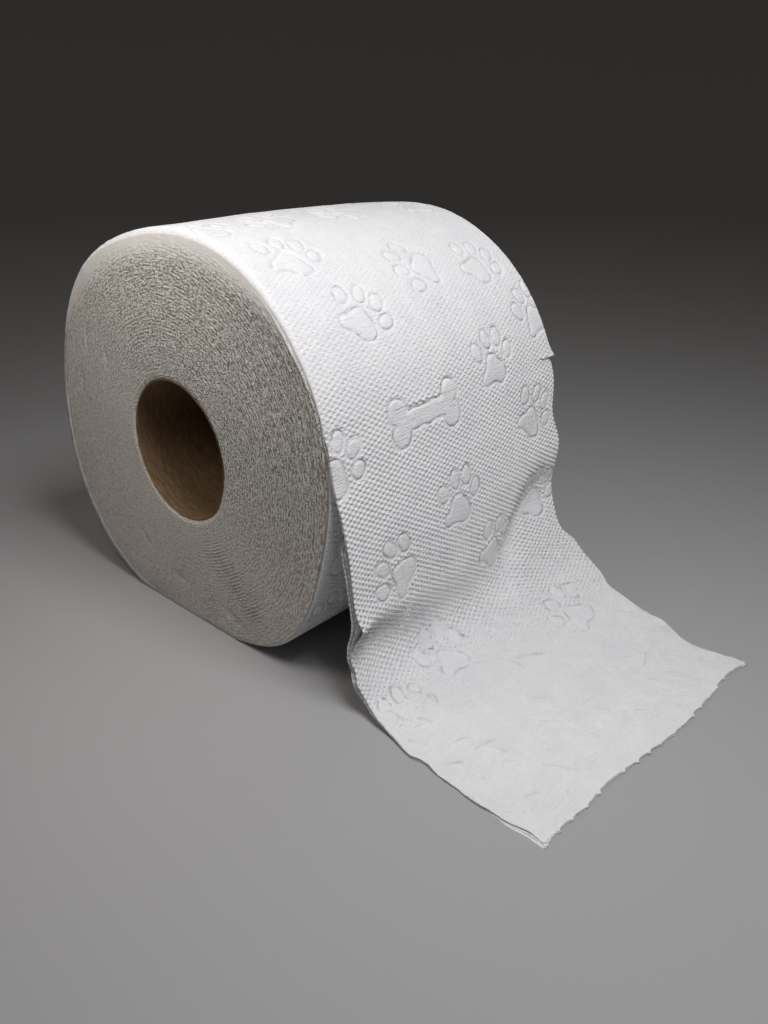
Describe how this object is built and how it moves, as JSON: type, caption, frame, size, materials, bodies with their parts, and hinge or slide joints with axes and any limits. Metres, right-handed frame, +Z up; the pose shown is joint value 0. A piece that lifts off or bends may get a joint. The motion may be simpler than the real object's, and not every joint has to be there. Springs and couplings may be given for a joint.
{
  "type": "toilet paper roll",
  "caption": "Soft wound roll of embossed white tissue on a cardboard core, resting on its side with one loose sheet hanging down and lying out in front.",
  "frame": {"origin": "on the resting plane, in the middle of the flat spot under the roll, straight below the middle of the core's axis", "axes": "+X along the core's axis, +Z up, +Y to the back; the loose sheet comes off the front, towards -Y"},
  "size_m": [0.1026, 0.2019, 0.1187],
  "materials": {
    "tissue": "matt, soft, embossed",
    "cardboard": "matt, unbleached"
  },
  "bodies": {
    "root": {"paper_roll": "tissue", "cardboard_core": "cardboard"}
  },
  "joints": []
}
